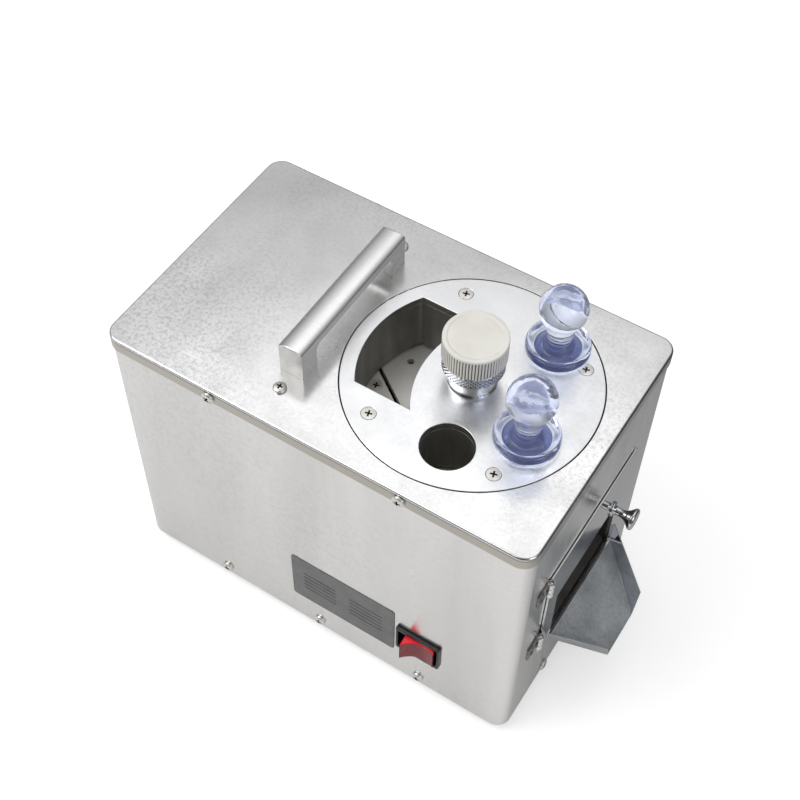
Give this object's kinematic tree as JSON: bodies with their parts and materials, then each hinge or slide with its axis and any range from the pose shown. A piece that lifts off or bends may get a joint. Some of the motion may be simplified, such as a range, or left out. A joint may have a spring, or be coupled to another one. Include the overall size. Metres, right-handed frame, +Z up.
{
  "type": "tabletop herb slicer",
  "caption": "Tabletop herb slicing machine: polished steel box with a round feed plate, clear feed plungers, thickness knob, carry handle and hinged discharge door with a chute.",
  "frame": {"origin": "middle of the whole footprint, on the surface the rubber feet stand on", "axes": "+X towards the discharge door, +Y towards the back, +Z up"},
  "size_m": [0.314, 0.1836, 0.2659],
  "materials": {
    "polished_steel": "mirror-polished stainless sheet with a soft cloudy haze",
    "brushed_steel": "machined steel",
    "screw_steel": "bright stainless screws",
    "dull_steel": "dull dark grey steel",
    "cast_aluminium": "as-machined cast aluminium",
    "chrome": "bright chrome",
    "black_rubber": "matt black rubber",
    "black_plastic": "semi-gloss black plastic",
    "red_plastic": "translucent red plastic",
    "ivory_plastic": "satin ivory plastic",
    "clear_plastic": "clear acrylic with a blue tint",
    "grey_plate": "dark grey anodised plate",
    "motor_paint": "dark grey enamel"
  },
  "bodies": {
    "housing": {"lid": "polished_steel", "body_shell": "polished_steel", "base_plate": "brushed_steel", "foot_front_left": "black_rubber", "foot_front_right": "black_rubber", "foot_back_left": "black_rubber", "foot_back_right": "black_rubber", "skirt_screw_front_left": "screw_steel", "skirt_screw_back_left": "screw_steel", "skirt_screw_front_right": "screw_steel", "skirt_screw_back_right": "screw_steel", "base_screw_front_1": "screw_steel", "base_screw_front_2": "screw_steel", "base_screw_front_3": "screw_steel", "base_screw_right": "screw_steel", "lid_screw_front": "screw_steel", "lid_screw_back": "screw_steel", "handle": "polished_steel", "nameplate": "grey_plate", "switch_bezel": "black_plastic", "power_inlet": "black_plastic", "drive_deck": "brushed_steel", "motor_body": "motor_paint", "drive_belt": "black_rubber", "bearing_housing": "cast_aluminium", "lower_bearing": "chrome", "upper_bearing": "chrome", "feed_plate": "brushed_steel", "feed_throat": "dull_steel", "plate_screw_back_left": "screw_steel", "plate_screw_front_left": "screw_steel", "plate_screw_front_right": "screw_steel", "plate_screw_back_right": "screw_steel", "cutting_drum": "dull_steel", "discharge_duct": "dull_steel", "knob_boss": "chrome", "hinge_leaf_upper": "chrome", "hinge_leaf_lower": "chrome"},
    "motor_rotor": {"motor_shaft": "brushed_steel", "motor_pulley": "cast_aluminium"},
    "cutter": {"main_shaft": "brushed_steel", "driven_pulley": "cast_aluminium", "cutter_carrier": "cast_aluminium", "blade_a": "brushed_steel", "blade_b": "brushed_steel", "blade_screw_a": "screw_steel", "blade_screw_b": "screw_steel", "slinger": "brushed_steel"},
    "gauge": {"gauge_plate": "brushed_steel"},
    "knob": {"thickness_knob": "ivory_plastic", "adjusting_spindle": "brushed_steel"},
    "pusher": {"push_sleeve": "brushed_steel"},
    "lock": {"lock_ring": "brushed_steel"},
    "door": {"door_panel": "polished_steel", "door_knob": "chrome", "chute": "polished_steel"},
    "side_plunger": {"plunger_side": "clear_plastic"},
    "back_plunger": {"plunger_back": "clear_plastic"},
    "rocker": {"switch_rocker": "red_plastic"}
  },
  "joints": [
    {"name": "motor_spin", "type": "hinge", "parent": "housing", "child": "motor_rotor", "pos_m": [-0.09104, 0.00313, 0.035], "axis": [0, 0, 1], "continuous": true},
    {"name": "cutter_spin", "type": "hinge", "parent": "housing", "child": "cutter", "pos_m": [0.03676, 0.00313, 0.035], "axis": [0, 0, 1], "continuous": true},
    {"name": "knob_turn", "type": "hinge", "parent": "housing", "child": "knob", "pos_m": [0.03676, 0.00313, 0.21635], "axis": [0, 0, -1], "range_deg": [0, 720]},
    {"name": "pusher_slide", "type": "slide", "parent": "housing", "child": "pusher", "axis": [0, 0, -1], "range_m": [0, 0.003]},
    {"name": "gauge_slide", "type": "slide", "parent": "cutter", "child": "gauge", "axis": [0, 0, -1], "range_m": [0, 0.003]},
    {"name": "lock_turn", "type": "hinge", "parent": "housing", "child": "lock", "pos_m": [0.03676, 0.00313, 0.23335], "axis": [0, 0, 1], "range_deg": [-45, 45]},
    {"name": "door_swing", "type": "hinge", "parent": "housing", "child": "door", "pos_m": [0.12423, -0.05127, 0.1055], "axis": [0, 0, -1], "range_deg": [0, 110]},
    {"name": "side_plunger_lift", "type": "slide", "parent": "housing", "child": "side_plunger", "axis": [0, 0, 1], "range_m": [0, 0.06]},
    {"name": "back_plunger_lift", "type": "slide", "parent": "housing", "child": "back_plunger", "axis": [0, 0, 1], "range_m": [0, 0.06]},
    {"name": "switch_rock", "type": "hinge", "parent": "housing", "child": "rocker", "pos_m": [0.05896, -0.07919, 0.0568], "axis": [0, 0, -1], "range_deg": [0, 28.2]}
  ],
  "couplings": [
    {"joint": "motor_spin", "follows": "cutter_spin", "ratio": 2},
    {"joint": "knob_turn", "follows": "pusher_slide", "rad_per_m": 4188.8},
    {"joint": "gauge_slide", "follows": "pusher_slide", "ratio": 1}
  ]
}
